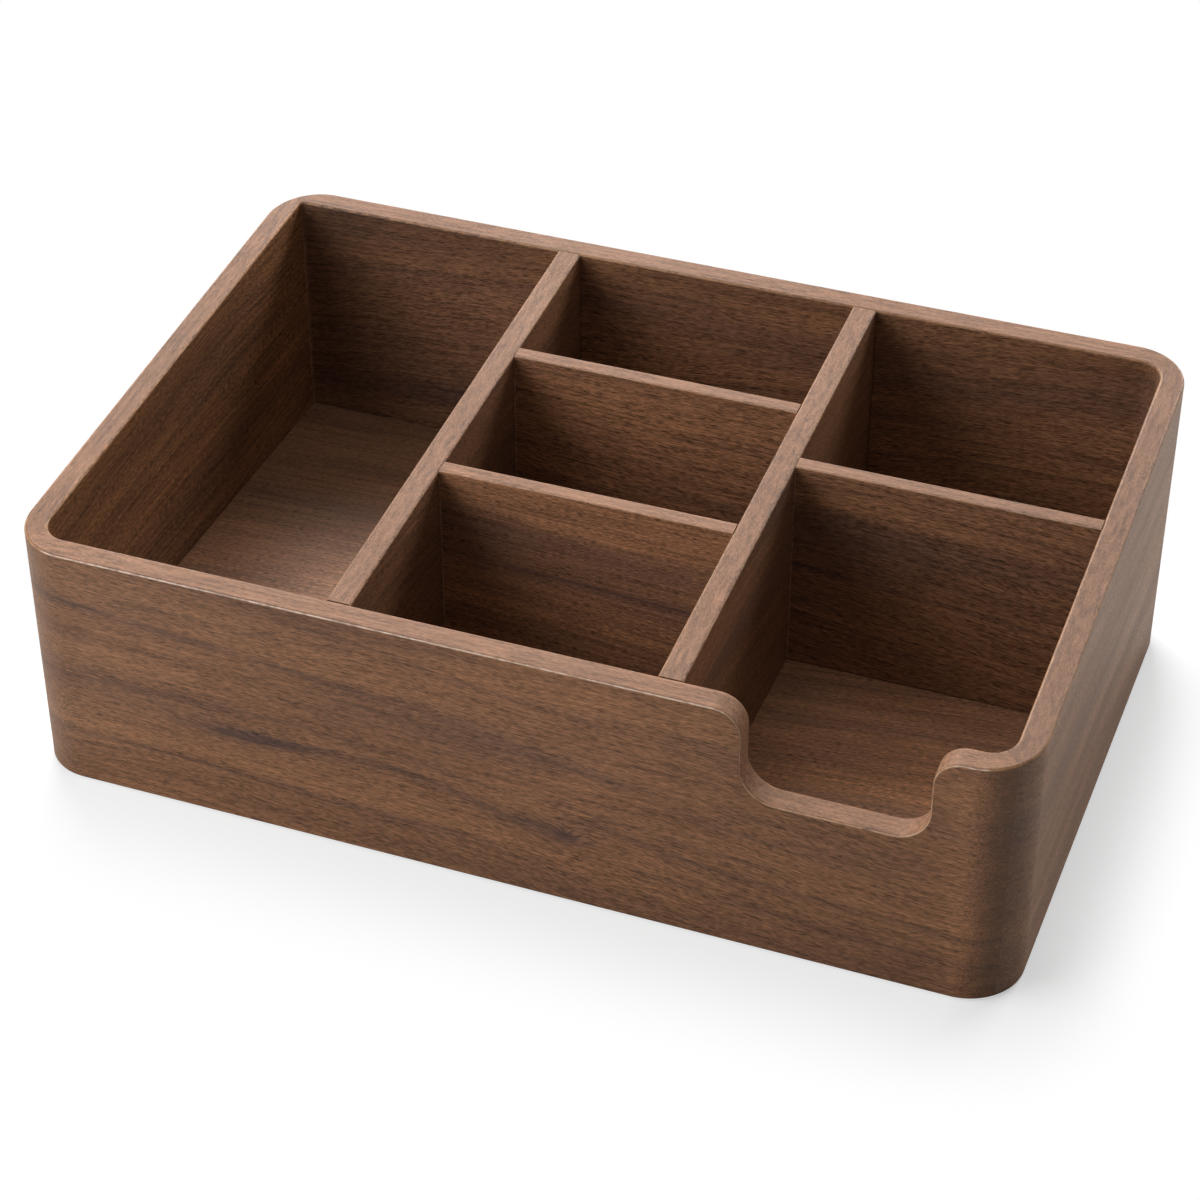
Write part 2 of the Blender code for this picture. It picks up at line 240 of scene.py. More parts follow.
# Between a rounding, which is still selected, and the face that it runs into.
def isBorder(edge):
    rounded = [face.select for face in edge.link_faces]
    return any(rounded) and not all(rounded) and edge.calc_face_angle(0) < borderAngle


# walls: one rounded ring, copied and cut at the mitres into four boards

mitre = {
    "closed": 0.00002,        # three corners are tight
    "open": 0.00010,          # a hairline shows at the back left one
}
splineSlot = {
    "length": 0.0076,
    "width": 0.0022,
    "bottom": 0.0267,
    "stop": 0.0107,           # how far it ends below the rim
}
joints = {
    "grooveDepth": 0.004,
    "grooveBottom": 0.0162,
    "grooveTop": 0.0208,
    "longHousing": 0.003,     # depth of the housings of the dividers' ends
    "crossHousing": 0.0025,
    "housingStop": 0.009,     # they end this far below the rim
    "slack": 0.0003,
    "butt": 0.00003,          # gap at a visible butt joint
}
notch = {
    "x": (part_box("long_divider_right")[1].x + innerX) / 2,
    "width": 0.056,
    "depth": 0.0305,
    "lipRadius": 0.009,
    "floorRadius": 0.011,
    "steps": 28,
    "over": 0.02,             # how far its cutter stands over the rim
    "through": 0.048,         # and how long it is, to pass right through the wall
}
# How strongly a painted highlight, partly wear, shows as a light line along these edges: the front rim,
# the scooped opening, the mitre that shows.
wallEdgeHighlight = {"rim": 1.0, "scoop": 0.3, "mitre": 0.35}
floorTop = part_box("base_panel")[1].z


def makeRing():
    top = organizer["rimBack"] + above
    ring = addBlock("ring", (-halfWidth, -halfDepth, wallFoot), (halfWidth, halfDepth, top))
    roundEdges(ring, organizer["outerRadius"], organizer["outerSteps"], isUpright)
    core = addBlock("core", (-innerX, -innerY, wallFoot - above), (innerX, innerY, top + above))
    roundInside(core)
    carve(ring, core)
    scrap(core)
    return ring


# sideX and sideY say which corner, and which of its two boards stays.
def cutMitre(board, sideX, sideY, keeps):
    gap = mitre["open"] if (sideX, sideY) == (-1, 1) else mitre["closed"]
    away = Vector((sideX, -sideY, 0)).normalized()
    if keeps == "side":
        away = -away
    corner = Vector((sideX * halfWidth, sideY * halfDepth, 0))
    cutAway(board, corner - away * gap / 2, away)


def onMitre(vert):
    fromSide = halfWidth - abs(vert.co.x)
    fromFront = halfDepth - abs(vert.co.y)
    return abs(fromSide - fromFront) < 2 * mitre["open"]


def scoopOpening(board):
    pivot = Vector((notch["x"], -halfDepth, organizer["rimFront"]))
    middle = pivot + rimNormal * (notch["over"] - notch["depth"]) / 2
    size = Vector((notch["width"], notch["through"], notch["over"] + notch["depth"]))
    cutter = addBlock("scoop", middle - size / 2, middle + size / 2, tilt=rimAngle)
    carve(board, cutter)
    scrap(cutter)

    def runsThrough(edge, height):
        first, second = (vert.co for vert in edge.verts)
        return (all(abs(abs(point.x - notch["x"]) - notch["width"] / 2) < hair
                    and abs(aboveRim(point) + height) < hair for point in (first, second))
                and abs(first.y - second.y) > organizer["wall"] / 2)

    roundEdges(board, notch["lipRadius"], notch["steps"], lambda edge: runsThrough(edge, 0))
    roundEdges(board, notch["floorRadius"], notch["steps"], lambda edge: runsThrough(edge, notch["depth"]))


def onScoop(edge):
    reach = notch["width"] / 2 + notch["lipRadius"] + hair
    for vert in edge.verts:
        depth = -aboveRim(vert.co)
        face = min(abs(vert.co.y + halfDepth), abs(vert.co.y + innerY))
        if face > hair or abs(vert.co.x - notch["x"]) > reach or depth > notch["depth"] + hair:
            return False
    return True


# The sloping top of a board.
def isRimFace(face):
    return face.normal.dot(rimNormal) > 0.999 and abs(aboveRim(face.calc_center_median())) < hair


# One that runs through the wall, all along the scooped opening.
def isScoopFace(face):
    middle = face.calc_center_median()
    reach = notch["width"] / 2 + notch["lipRadius"]
    return (abs(face.normal.y) < 0.2 and abs(middle.x - notch["x"]) < reach
            and -notch["depth"] - hair < aboveRim(middle) < 0)


# The rounding along the top of the front face, down into the scooped opening.
def isOuterRimEdge(face, lowest):
    middle = face.calc_center_median()
    onRounding = middle.y < organizer["edgeRound"] - halfDepth and -0.99 < face.normal.y < -0.1
    return onRounding and aboveRim(middle) > lowest


# The last strip of a wall's inner corner, beside the mitre that shows.
def isInnerMitre(face):
    middle = face.calc_center_median()
    inward = face.normal.x * face.normal.y < -0.4 and face.normal.x > 0
    return inward and middle.x < 0 < middle.y and all(onMitre(vert) for vert in face.verts)


def atFoot(vert):
    return abs(vert.co.z - wallFoot) < hair


# A sharp edge of a wall on that line, such as the rim, but not one of a mitre.
def isEdgeOn(edge, line):
    return isSharp(edge) and all(map(line, edge.verts)) and not all(map(onMitre, edge.verts))


def makeGroove():
    out = joints["grooveDepth"]
    groove = addBlock("groove", (-innerX - out, -innerY - out, joints["grooveBottom"]),
                      (innerX + out, innerY + out, joints["grooveTop"]))
    roundEdges(groove, organizer["innerRadius"] + out, organizer["innerSteps"], isUpright)
    return groove


# The middle and the thickness of a packed board, measured along the axis: 0 is X and 1 is Y.
def measure(node, axis):
    low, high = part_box(node)
    return (low[axis] + high[axis]) / 2, high[axis] - low[axis]


# The cutter of a stopped housing in the face at 'face' of a wall or divider.
def makeHousing(axis, face, inward, middle, thickness, depth):
    reach = thickness / 2 + joints["slack"]
    along = sorted((face + inward * depth, face - inward * depth))
    across = (middle - reach, middle + reach)
    spans = (along, across) if axis == 0 else (across, along)
    top = rimHeight(spans[1][0]) - joints["housingStop"] + joints["slack"]
    return addBlock("housing", (spans[0][0], spans[1][0], floorTop), (spans[0][1], spans[1][1], top))


def makeSplineSlot(sideX, sideY):
    outer = organizer["outerRadius"] * (1 - cos(radians(45)))
    radius = organizer["squareRadius" if (sideX, sideY) == (-1, 1) else "innerRadius"]
    inner = organizer["wall"] + radius * (1 - cos(radians(45)))
    middle = (outer + inner) / 2
    centre = Vector((sideX * (halfWidth - middle), sideY * (halfDepth - middle), 0))
    top = rimHeight(sideY * halfDepth) - splineSlot["stop"]
    half = Vector((splineSlot["length"] / 2, splineSlot["width"] / 2, 0))
    slot = addBlock("slot", -half + Vector((0, 0, splineSlot["bottom"])), half + Vector((0, 0, top)))
    workOn(slot)
    slot.rotation_euler.z = radians(45 if sideX * sideY < 0 else 135)
    slot.location = centre
    bpy.ops.object.transform_apply(location=True, rotation=True, scale=True)
    return slot


# Shading: smooth over the roundings, flat on the faces.
def finishShading(piece):
    workOn(piece)
    bpy.ops.object.shade_smooth_by_angle(angle=organizer["smoothAngle"])
    even = piece.modifiers.new("even", "WEIGHTED_NORMAL")
    even.keep_sharp = True
    bpy.ops.object.modifier_apply(modifier=even.name)


def makeWalls():
    ring = makeRing()
    groove = makeGroove()
    slots = {(x, y): makeSplineSlot(x, y) for x in (-1, 1) for y in (-1, 1)}
    housings = {"front": [], "back": [], "left": [], "right": []}
    for side in ("left", "right"):
        across = measure("long_divider_" + side, 0)
        for end, name in ((-1, "front"), (1, "back")):
            housings[name].append(makeHousing(1, end * innerY, end, *across, joints["longHousing"]))
    across = measure("cross_divider_right", 1)
    housings["right"].append(makeHousing(0, innerX, 1, *across, joints["crossHousing"]))
    corners = {
        "front": ((-1, -1, "front"), (1, -1, "front")),
        "back": ((-1, 1, "front"), (1, 1, "front")),
        "left": ((-1, -1, "side"), (-1, 1, "side")),
        "right": ((1, -1, "side"), (1, 1, "side")),
    }
    walls = {}
    for name, ends in corners.items():
        hasScoop = name == "front"
        board = copyOf(ring, "walnut_%s_wall" % name)
        for sideX, sideY, keeps in ends:
            cutMitre(board, sideX, sideY, keeps)
        cutAway(board, rimPoint, rimNormal)
        if hasScoop:
            scoopOpening(board)
        for cutter in [groove, *(slots[end[:2]] for end in ends), *housings[name]]:
            carve(board, cutter)
        easeEdges(board, organizer["footRound"], organizer["footSteps"],
                  lambda edge: isEdgeOn(edge, atFoot), worn=False)
        easeEdges(board, organizer["edgeRound"], organizer["edgeSteps"],
                  lambda edge: isEdgeOn(edge, onRim) or (hasScoop and isSharp(edge) and onScoop(edge)))
        markFaces(board, "rimTop", lambda face: isRimFace(face) or (hasScoop and isScoopFace(face)))
        # A painted highlight, partly wear, runs as a pale line along the front rim's outer rounding and,
        # weaker, round the scooped opening.
        if hasScoop:
            for lowest, pale in ((-notch["depth"] - above, "scoop"), (-organizer["edgeRound"], "rim")):
                markFaces(board, "highlightAndWearLine", lambda face: isOuterRimEdge(face, lowest), wallEdgeHighlight[pale])
        # The strip beside the open mitre gets a painted light hairline.
        if name in ("left", "back"):
            markFaces(board, "highlightAndWearLine", isInnerMitre, wallEdgeHighlight["mitre"])
            markFaces(board, "edgeWearAndHairline", isInnerMitre)
        finishShading(board)
        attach(board, "root")
        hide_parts(name + "_wall")
        walls[name] = board
        print("wall made:", name)
    scrap(ring, groove, *slots.values(), *(cutter for group in housings.values() for cutter in group))
    return walls


# floor panel, with a tongue that runs into the walls' groove

floorPanel = {
    "thickness": 0.007,
    "gap": 0.00010,           # between the panel and the walls
    "tongueReach": 0.0037,
    "tongueBottom": 0.0165,
    "tongueTop": 0.0205,
    "edgeRound": 0.0003,
    "steps": 3,
    "pale": 0.30,             # strength of a painted highlight along its edge by the walls
}


def isPanelEdge(face):
    return 0.1 < face.normal.z < 0.98


# The tongue has large corners all round, at the back left too, to stay clear of the walls' outside.
def makeFloor():
    gap = floorPanel["gap"]
    reach = floorPanel["tongueReach"]
    panel = addBlock("walnut_floor_panel", (gap - innerX, gap - innerY, floorTop - floorPanel["thickness"]),
                     (innerX - gap, innerY - gap, floorTop))
    roundInside(panel, gap)
    tongue = addBlock("tongue", (-innerX - reach, -innerY - reach, floorPanel["tongueBottom"]),
                      (innerX + reach, innerY + reach, floorPanel["tongueTop"]))
    roundEdges(tongue, organizer["innerRadius"] + reach, organizer["innerSteps"], isUpright)
    carve(panel, tongue, "UNION")
    scrap(tongue)
    easeEdges(panel, floorPanel["edgeRound"], floorPanel["steps"], lambda edge: isSharp(edge)
              and all(abs(vert.co.z - floorTop) < hair for vert in edge.verts))
    # A painted highlight runs as a light line along the panel's eased edge.
    markFaces(panel, "highlightAndWearLine", isPanelEdge, floorPanel["pale"])
    finishShading(panel)
    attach(panel, "root")
    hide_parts("base_panel")
    print("floor panel made")
    return panel


# dividers: a block, a tongue at each end that stops below the rim, and a sloping top

divider = {
    "lift": 0.0003,           # over the floor panel
    "crossLift": 0.0005,
    "longRound": 0.0009,
    "crossRound": 0.0006,
    "steps": 5,
    "pale": 0.45,             # strength of a painted highlight, partly wear, along a cross divider's front top edge
    "seam": 0.0002,           # width of the painted light hairline down its left end; seamPale is its strength
    "seamPale": 0.30,
}


# axis is the one that the board runs along: 0 for X, 1 for Y.
def makeDivider(name, axis, start, end, middle, thickness, tongue, rounding, cutters=()):
    lift = divider["lift" if axis == 1 else "crossLift"]
    low, high = Vector((0, 0, floorTop + lift)), Vector((0, 0, organizer["rimBack"] + above))
    low[axis], high[axis] = start, end
    low[1 - axis], high[1 - axis] = middle - thickness / 2, middle + thickness / 2
    piece = addBlock(name, low, high)
    cutAway(piece, rimPoint, rimNormal)
    for face, outward in ((start, -1), (end, 1)):
        lowestY = face + outward * tongue if axis == 1 else middle - thickness / 2
        stop = rimHeight(lowestY) - joints["housingStop"]

        def isEnd(part):
            return part.normal[axis] * outward > 0.9

        cutThrough(piece, (0, 0, stop), (0, 0, 1), isEnd)
        pick(piece, "FACE", lambda part: isEnd(part) and part.calc_center_median().z < stop)
        push = Vector((0, 0, 0))
        push[axis] = outward * tongue
        bpy.ops.mesh.extrude_region_move(TRANSFORM_OT_translate={"value": push})
    for cutter in cutters:
        carve(piece, cutter)
    easeEdges(piece, rounding, divider["steps"], lambda edge: isSharp(edge) and all(map(onRim, edge.verts))
              and abs((edge.verts[0].co - edge.verts[1].co)[axis]) > hair)
    markFaces(piece, "rimTop", isRimFace)
    # A cross divider gets a painted light hairline down its left end and a painted highlight, partly wear,
    # along its front top edge.
    if axis == 0:
        seam = start + divider["seam"]
        for edgeOfStrip in (seam, seam + divider["seam"]):
            cutThrough(piece, (edgeOfStrip, 0, 0), (1, 0, 0))

        def isSeam(face):
            return face.normal.y < -0.9 and start - hair < face.calc_center_median().x < seam

        markFaces(piece, "edgeWearAndHairline", isSeam)
        markFaces(piece, "highlightAndWearLine", isSeam, divider["seamPale"])
        markFaces(piece, "highlightAndWearLine", lambda face: aboveRim(face.calc_center_median()) > -rounding
                  and -0.97 < face.normal.y < -0.3, divider["pale"])
    finishShading(piece)
    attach(piece, "root")
    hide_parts(name.replace("walnut_", ""))
    print("divider made:", name)
    return piece


def makeDividers():
    butt, depth = joints["butt"], joints["crossHousing"]
    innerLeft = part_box("long_divider_left")[1].x
    innerRight, outerRight = (corner.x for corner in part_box("long_divider_right"))
    spans = {
        "middle_rear": (innerLeft, innerRight),
        "middle_front": (innerLeft, innerRight),
        "right": (outerRight, innerX),
    }
    cuts = {
        "left": [("middle_rear", innerLeft, -1), ("middle_front", innerLeft, -1)],
        "right": [("middle_rear", innerRight, 1), ("middle_front", innerRight, 1),
                  ("right", outerRight, -1)],
    }
    made = {}
    for side, housings in cuts.items():
        cutters = [makeHousing(0, face, inward, *measure("cross_divider_" + name, 1), depth)
                   for name, face, inward in housings]
        made["long_" + side] = makeDivider(
            "walnut_long_divider_" + side, 1, butt - innerY, innerY - butt,
            *measure("long_divider_" + side, 0), joints["longHousing"] - joints["slack"],
            divider["longRound"], cutters)
        scrap(*cutters)
    for name, (left, right) in spans.items():
        made["cross_" + name] = makeDivider(
            "walnut_cross_divider_" + name, 0, left + butt, right - butt,
            *measure("cross_divider_" + name, 1), depth - joints["slack"], divider["crossRound"])
    return made


# felt pads under the side walls

feltPad = {
    "cornerSteps": 10,
    "edgeRound": 0.00025,
    "edgeSteps": 3,
}


def makePads():
    pads = []
    for front in ("front", "back"):
        for side in ("left", "right"):
            low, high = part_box("pad_%s_%s" % (front, side))
            pad = addBlock("felt_pad_%s_%s" % (front, side), low, high)
            roundEdges(pad, (high.x - low.x) / 2 - hair, feltPad["cornerSteps"], isUpright)
            easeEdges(pad, feltPad["edgeRound"], feltPad["edgeSteps"], isSharp, worn=False)
            finishShading(pad)
            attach(pad, "root")
            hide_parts("pad_%s_%s" % (front, side))
            pads.append(pad)
    print("felt pads made:", len(pads))
    return pads


walls = makeWalls()
floorBoard = makeFloor()
dividers = makeDividers()
pads = makePads()


# node helpers

# What comes out of a node. A sum of wires is written as a sum, and adds the Math nodes that it needs.
class Wire:
    def __init__(self, socket):
        self.socket = socket
        self.tree = socket.id_data

    def __add__(self, other):
        return calc("ADD", self, other)

    def __radd__(self, other):
        return calc("ADD", other, self)

    def __sub__(self, other):
        return calc("SUBTRACT", self, other)

    def __rsub__(self, other):
        return calc("SUBTRACT", other, self)

    def __mul__(self, other):
        return calc("MULTIPLY", self, other)

    def __truediv__(self, other):
        return calc("DIVIDE", self, other)


def wireOf(node, output=0):
    return Wire(node.outputs[output])


def fill(socket, value):
    if isinstance(value, Wire):
        value.tree.links.new(value.socket, socket)
    elif value is not None:
        socket.default_value = value


# Fills sockets by name, with _ for a space: a value is set, and a wire is linked.
def plug(node, **values):
    for label, value in values.items():
        fill(node.inputs[label.replace("_", " ")], value)


# Values fill the sockets in order, names with a capital are sockets, and the others are settings.
def addNode(tree, kind, *values, **named):
    node = tree.nodes.new(kind)
    for label, value in named.items():
        if label[0].islower():
            setattr(node, label, value)
    for socket, value in zip(node.inputs, values):
        fill(socket, value)
    plug(node, **{label: value for label, value in named.items() if label[0].isupper()})
    return node


def addWire(tree, kind, *values, output=0, **named):
    return wireOf(addNode(tree, kind, *values, **named), output)


def treeOf(values):
    return next(value.tree for value in values if isinstance(value, Wire))


def calc(operation, *values, clamp=False):
    return addWire(treeOf(values), "ShaderNodeMath", *values, operation=operation, use_clamp=clamp)


def calcVector(operation, vector, *values, **named):
    output = "Value" if operation == "LENGTH" else "Vector"
    return addWire(vector.tree, "ShaderNodeVectorMath", vector, *values, output=output, operation=operation,
                   **named)


def apart(vector):
    return [Wire(socket) for socket in addNode(vector.tree, "ShaderNodeSeparateXYZ", vector).outputs]


def together(*parts):
    return addWire(treeOf(parts), "ShaderNodeCombineXYZ", *parts)


def softStep(value, low, high):
    return addWire(value.tree, "ShaderNodeMapRange", interpolation_type="SMOOTHSTEP", Value=value,
                   From_Min=low, From_Max=high)


def spread(value, low, high, toLow, toHigh):
    return addWire(value.tree, "ShaderNodeMapRange", Value=value, From_Min=low, From_Max=high, To_Min=toLow,
                   To_Max=toHigh)


# 1 where the distance is 0, and falling off evenly on both sides.
def bell(distance):
    return calc("EXPONENT", distance * distance * -1.0)


def mixColours(factor, first, second):
    otherKinds = [None] * 5           # the sockets for numbers and vectors, which lie in between
    return addWire(factor.tree, "ShaderNodeMix", factor, *otherKinds, first, second, output=2,
                   data_type="RGBA")


# Noise that is drawn out along the grain: stretch is how many blobs fit in a metre each way.
def grainNoise(position, stretch, shift, detail, roughness=0.5, distortion=0.0):
    place = addWire(position.tree, "ShaderNodeMapping", Vector=position, Scale=stretch, Location=shift)
    return addWire(position.tree, "ShaderNodeTexNoise", Vector=place, Scale=1.0, Detail=detail,
                   Roughness=roughness, Distortion=distortion)


# A number among the inputs is that input's usual value.
def startGroup(name, inputs, outputs):
    tree = bpy.data.node_groups.new(name, "ShaderNodeTree")
    kinds = {"vector": "NodeSocketVector", "colour": "NodeSocketColor", "value": "NodeSocketFloat"}
    for side, sockets in (("INPUT", inputs), ("OUTPUT", outputs)):
        for label, kind in sockets.items():
            socket = tree.interface.new_socket(name=label, in_out=side,
                                               socket_type=kinds.get(kind, "NodeSocketFloat"))
            if kind not in kinds:
                socket.default_value = kind
    given = {socket.name: Wire(socket) for socket in tree.nodes.new("NodeGroupInput").outputs}
    return tree, given, tree.nodes.new("NodeGroupOutput")


# walnut: X runs along the grain, Z over the width of a board, and Y into it

# Carries the figure round the corners of the box: X becomes the length along the ring of walls.
def makeRoundCorners():
    tree, given, result = startGroup(
        "roundCorners",
        {"Position": "vector", "Half Length": 0.16, "Half Width": 0.1, "Radius": 0.018, "Start": 0.0},
        {"Place": "vector"})
    along, inward, height = apart(given["Position"])
    radius = given["Radius"]
    straight = given["Half Length"] - radius
    rise = calc("MAXIMUM", inward * -1.0 - (given["Half Width"] - radius), 0.0)
    size = calc("ABSOLUTE", along)
    past = calc("MAXIMUM", size - straight, 0.0)
    turn = calc("ARCTAN2", past, rise + hair)
    length = (calc("MINIMUM", size, straight) + turn * radius) * calc("SIGN", along) + given["Start"]
    depth = radius - calcVector("LENGTH", together(past, rise, 0.0))
    plug(result, Place=together(length, depth, height))
    return tree


# How far the growth lines drift across the board on their way along it.
def makeGrainFlow():
    tree, given, result = startGroup("grainFlow", {"Place": "vector", "Slope": 0.05}, {"Drift": "value"})
    place = given["Place"]
    broad = spread(grainNoise(place, (5.5, 6, 13), (3, 1, 7), 1.0), 0, 1, -0.011, 0.011)
    small = spread(grainNoise(place, (24, 20, 60), (6, 2, 5), 1.0), 0, 1, -0.0011, 0.0011)
    plug(result, Drift=broad + small + apart(place)[0] * given["Slope"])
    return tree


# A small knot: the growth lines swell round it, and its middle is dark. The same bell also lays out the
# patches of painted light and shade.
def makeKnotAndPatch():
    tree, given, result = startGroup(
        "knotAndPatch", {"Place": "vector", "Middle": "vector", "Reach": "vector", "Lift": 0.003},
        {"Drift": "value", "Dark": "value"})
    away = calcVector("SUBTRACT", given["Place"], given["Middle"])
    near = bell(calcVector("LENGTH", calcVector("DIVIDE", away, given["Reach"])))
    plug(result, Drift=near * given["Lift"], Dark=near)
    return tree


# One dark line of the figure along a given path: how soft it is above and below, and where it runs.
def makeStreak():
    tree, given, result = startGroup(
        "streak",
        {"Place": "vector", "Path": 0.0, "First": -0.1, "Last": 0.1, "Above": 0.001, "Below": 0.001},
        {"Dark": "value"})
    place = given["Place"]
    along, height = apart(place)[::2]
    sway = spread(grainNoise(place, (45, 10, 20), (4, 2, 6), 2.0), 0.3, 0.7, -0.0004, 0.0004)
    off = height - given["Path"] + sway
    width = given["Below"] + calc("GREATER_THAN", off, 0.0) * (given["Above"] - given["Below"])
    fade = walnut["lineFade"]
    starts = softStep(along, given["First"] - fade, given["First"] + fade)
    ends = softStep(along, given["Last"] - fade, given["Last"] + fade)
    patchy = spread(grainNoise(place, (55, 20, 260), (8, 3, 1), 2.0), 0.3, 0.6, 0.45, 1.0)
    plug(result, Dark=bell(off / width) * starts * (1.0 - ends) * patchy)
    return tree


# Growth lines: each darkens slowly and ends sharply, and no two are equally strong.
def makeGrowthLines():
    tree, given, result = startGroup(
        "growthLines", {"Place": "vector", "Spacing": 0.02, "Phase": 0.0}, {"Dark": "value"})
    place = given["Place"]
    uneven = grainNoise(place, (1.5, 4, 34), (2, 9, 4), 1.0)
    count = apart(place)[2] / given["Spacing"] + given["Phase"] + uneven
    part = calc("FRACT", count)
    chance = addWire(tree, "ShaderNodeTexWhiteNoise", noise_dimensions="1D", W=calc("FLOOR", count))
    line = calc("POWER", part, 14.0) * 0.75
    shade = calc("POWER", part, 2.5) * 0.35
    end = 1.0 - softStep(part, 0.965, 1.0)
    fades = softStep(grainNoise(place, (9, 9, 40), (8, 3, 1), 2.0), 0.32, 0.62)
    plug(result, Dark=(line + shade) * end * spread(chance, 0, 1, 0.25, 1.0) * fades)
    return tree


# Position follows the board itself, and Place follows the figure round the corners.
def makeWalnutGrain():
    tree, given, result = startGroup(
        "walnutGrain",
        {"Position": "vector", "Place": "vector", "Marks": 0.0, "Shade": 0.0, "Light": "colour",
         "Body": "colour", "Smoke": "colour", "Pore": "colour", "Smoke Amount": 1.0, "Fibre Amount": 1.0,
         "Rim": 0.0, "Rim Color": "colour"},
        {"Color": "colour", "Roughness": "value", "Height": "value"})
    position, place, rim = given["Position"], given["Place"], given["Rim"]
    figure = spread(grainNoise(place, (6, 12, 85), (3, 1, 7), 3.0, 0.55), 0.32, 0.68, 0.0, 1.0)
    sanded = rim * walnut["rimShare"]
    shown = 1.0 - sanded
    colour = mixColours(figure, given["Body"], given["Light"])
    colour = mixColours(sanded, colour, given["Rim Color"])

    smoke = softStep(grainNoise(place, (5, 10, 52), (11, 5, 2), 2.5, 0.5, 0.3), 0.48, 0.70)
    main = addWire(tree, "ShaderNodeGroup", node_tree=growthLines, Place=place, Spacing=walnut["spacing"])
    faint = addWire(tree, "ShaderNodeGroup", node_tree=growthLines, Place=place, Phase=0.4,
                    Spacing=walnut["faintSpacing"])
    dark = (smoke * 0.65 + main * 1.15 + faint * 0.50) * given["Smoke Amount"] * shown
    dark = calc("ADD", dark, given["Marks"] * shown, clamp=True)
    colour = mixColours(dark, colour, given["Smoke"])

    fibre = grainNoise(position, (480, 5000, 5600), (5, 2, 9), 1.0, 0.5)
    dash = grainNoise(position, (150, 2300, 2600), (2, 7, 5), 2.0, 0.6)
    fine = spread(fibre, 0.3, 0.7, -0.60, 0.60) + spread(dash, 0.3, 0.7, -0.13, 0.13)
    lines = spread(grainNoise(position, (13, 800, 1150), (1, 8, 4), 3.0, 0.6), 0.3, 0.7, -0.22, 0.22)
    flecks = spread(grainNoise(position, (60, 700, 900), (7, 3, 2), 1.0), 0.3, 0.7, -0.13, 0.13)
    lines = lines + flecks * (rim * 0.5 + 1.0)
    calm = 1.0 - rim * walnut["rimCalm"]
    amount = (given["Fibre Amount"] - 1.0) * shown + 1.0
    # Shade brightens or darkens the faces, but not the top, with the painted light and shade of the
    # patches.
    tone = (lines * amount + fine * amount * calm + 1.0) * (given["Shade"] * shown + 1.0)
    colour = calcVector("SCALE", colour, Scale=calc("MAXIMUM", tone, 0.2))
    pores = softStep(grainNoise(position, (220, 3300, 3700), (9, 4, 3), 1.0), 0.62, 0.72)
    colour = mixColours(pores * calm * walnut["pores"], colour, given["Pore"])
    rough = spread(figure, 0.0, 1.0, walnut["roughest"], walnut["smoothest"])
    plug(result, Color=colour, Roughness=rough + pores * 0.15 + rim * walnut["rimRougher"],
         Height=fibre + dash + pores * -0.8)
    return tree


# Edges that hands and cups have rubbed: paler and warmer, broken up along their length. Over that a
# pale line is a painted highlight, and on the strip beside a seam or open mitre the rubbed colour is a
# painted light hairline.
def makeEdgeWearAndHighlight():
    tree, given, result = startGroup(
        "edgeWearAndHighlight",
        {"Position": "vector", "Edge": 0.0, "Color": "colour", "Worn": "colour", "Amount": 1.0, "Pale": 0.0,
         "Pale Color": "colour"},
        {"Color": "colour"})
    breaks = addWire(tree, "ShaderNodeTexNoise", Vector=given["Position"], Scale=420.0, Detail=2.0)
    patch = addWire(tree, "ShaderNodeTexNoise", Vector=given["Position"], Scale=35.0, Detail=1.0)
    mask = softStep(given["Edge"], 0.3, 1.0) * softStep(breaks * 0.7 + patch * 0.5, 0.42, 0.72)
    mask = calc("MULTIPLY", mask, given["Amount"], clamp=True)
    colour = mixColours(mask, given["Color"], given["Worn"])
    line = softStep(given["Edge"], 0.55, 0.95) * spread(breaks, 0.38, 0.60, 0.45, 1.0)
    line = calc("MULTIPLY", line, given["Pale"], clamp=True)
    plug(result, Color=mixColours(line, colour, given["Pale Color"]))
    return tree


walnut = {
    "light": (0.326, 0.152, 0.073, 1),
    "body": (0.232, 0.108, 0.056, 1),
    "smoke": (0.108, 0.057, 0.043, 1),
    "pore": (0.050, 0.025, 0.015, 1),
    "rim": (0.295, 0.148, 0.082, 1),          # the sanded tops of the boards
    "worn": (0.540, 0.280, 0.130, 1),         # edges that hands have rubbed
    "pale": (0.960, 0.780, 0.660, 1),         # a painted highlight, partly wear, on the front rim's outer edge and the other pale lines
    "rimShare": 0.85,         # how far the sanding hides the figure
    "rimCalm": 0.45,          # and the fine grain
    "spacing": 0.021,         # from one growth line to the next
    "faintSpacing": 0.0062,
    "lineFade": 0.012,        # over how much length a drawn line starts and ends
    "pores": 0.24,            # how strongly the pores show
    "gloss": 0.34,            # specular level of the oiled finish
    "roughest": 0.48,
    "smoothest": 0.42,
    "rimRougher": 0.16,
    "thrown": 0.25,           # share of its colour that a board throws on the next
    "bump": 0.00010,          # depth of the open grain
    "bumpStrength": 0.6,
    "slope": 0.052,           # how the grain runs down the boards from left to right
}
roundCorners = makeRoundCorners()
grainFlow = makeGrainFlow()
knotAndPatchShape = makeKnotAndPatch()
streak = makeStreak()
growthLines = makeGrowthLines()
walnutGrain = makeWalnutGrain()
edgeWearAndHighlight = makeEdgeWearAndHighlight()

# The ring of walls unrolled: where each wall's middle lies along it, how it is turned, its half sizes.
quarter = organizer["outerRadius"] * radians(90)
straightX = halfWidth - organizer["outerRadius"]
straightY = halfDepth - organizer["outerRadius"]
sideStart = straightX + quarter + straightY
wallLayout = {
    "front": (0.0, 0, halfWidth, halfDepth),
    "right": (sideStart, -90, halfDepth, halfWidth),
    "back": (2 * sideStart, 180, halfWidth, halfDepth),
    "left": (-sideStart, 90, halfDepth, halfWidth),
}
